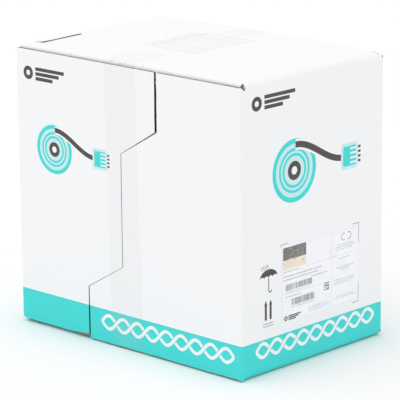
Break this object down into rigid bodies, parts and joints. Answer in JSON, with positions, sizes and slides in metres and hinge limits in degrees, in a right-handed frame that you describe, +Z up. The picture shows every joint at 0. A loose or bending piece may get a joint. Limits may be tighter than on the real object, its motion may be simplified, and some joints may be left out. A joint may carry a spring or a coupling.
{
  "type": "cable spool box",
  "caption": "White corrugated carton lying on its side, with a cable spool turning on an axle inside, stepped outer flaps, hand-holds and a cable payout door.",
  "frame": {"origin": "on the ground under the middle of the carton", "axes": "+Z up; +X along the wide seamed face, towards the end with the shipping label; +Y from the front seamed face to the back"},
  "size_m": [0.4052, 0.2722, 0.3801],
  "materials": {
    "white_board": "matte",
    "kraft_board": "matte",
    "kraft_tube": "matte",
    "clear_tape": "gloss",
    "label_paper": "satin",
    "black_plastic": "satin",
    "plywood": "satin",
    "cable_jacket": "satin",
    "white_tape": "satin",
    "zinc_steel": "satin"
  },
  "bodies": {
    "carton": {"top_panel": "white_board", "bottom_panel": "white_board", "right_end_panel": "white_board", "left_end_panel": "white_board", "glue_flap": "white_board", "front_top_flap": "white_board", "front_bottom_flap": "white_board", "back_top_flap": "white_board", "back_bottom_flap": "white_board", "front_tape_top": "clear_tape", "back_tape_top": "clear_tape", "shipping_label": "label_paper", "support_pad_front": "kraft_board", "support_pad_back": "kraft_board", "axle_tube": "kraft_tube", "axle_cap_front": "black_plastic", "axle_cap_back": "black_plastic"},
    "front_left_flap": {"front_left_flap": "white_board", "front_tape_left": "clear_tape"},
    "front_right_flap": {"front_right_flap": "white_board", "front_tape_right": "clear_tape"},
    "back_left_flap": {"back_left_flap": "white_board", "back_tape_left": "clear_tape"},
    "back_right_flap": {"back_right_flap": "white_board", "back_tape_right": "clear_tape"},
    "hand_hold_tab_left": {"hand_hold_tab_left": "white_board"},
    "hand_hold_tab_right": {"hand_hold_tab_right": "white_board"},
    "payout_door": {"payout_door": "white_board"},
    "spool": {"flange_front": "plywood", "flange_back": "plywood", "core_tube": "kraft_tube", "bush_front": "black_plastic", "bush_back": "black_plastic", "cable_winding": "cable_jacket", "cable_end_tape": "white_tape", "tie_rods": "zinc_steel", "tie_rod_washers": "zinc_steel", "tie_rod_nuts": "zinc_steel"}
  },
  "joints": [
    {"name": "front_left_flap_fold", "type": "hinge", "parent": "carton", "child": "front_left_flap", "pos_m": [-0.2025, -0.132, 0.19], "axis": [0, 0, -1], "range_deg": [0, 180]},
    {"name": "front_right_flap_fold", "type": "hinge", "parent": "carton", "child": "front_right_flap", "pos_m": [0.2025, -0.132, 0.19], "axis": [0, 0, 1], "range_deg": [0, 180]},
    {"name": "back_left_flap_fold", "type": "hinge", "parent": "carton", "child": "back_left_flap", "pos_m": [-0.2025, 0.132, 0.19], "axis": [0, 0, 1], "range_deg": [0, 180]},
    {"name": "back_right_flap_fold", "type": "hinge", "parent": "carton", "child": "back_right_flap", "pos_m": [0.2025, 0.132, 0.19], "axis": [0, 0, -1], "range_deg": [0, 180]},
    {"name": "hand_hold_crease_left", "type": "hinge", "parent": "carton", "child": "hand_hold_tab_left", "pos_m": [-0.1595, 0, 0.376], "axis": [0, 1, 0], "range_deg": [0, 90]},
    {"name": "hand_hold_crease_right", "type": "hinge", "parent": "carton", "child": "hand_hold_tab_right", "pos_m": [0.1595, 0, 0.376], "axis": [0, -1, 0], "range_deg": [0, 90]},
    {"name": "payout_door_crease", "type": "hinge", "parent": "carton", "child": "payout_door", "pos_m": [-0.2025, -0.0745, 0.32], "axis": [0, -1, 0], "range_deg": [0, 120]},
    {"name": "spool_spin", "type": "hinge", "parent": "carton", "child": "spool", "pos_m": [0, 0, 0.19], "axis": [0, 1, 0], "continuous": true}
  ]
}
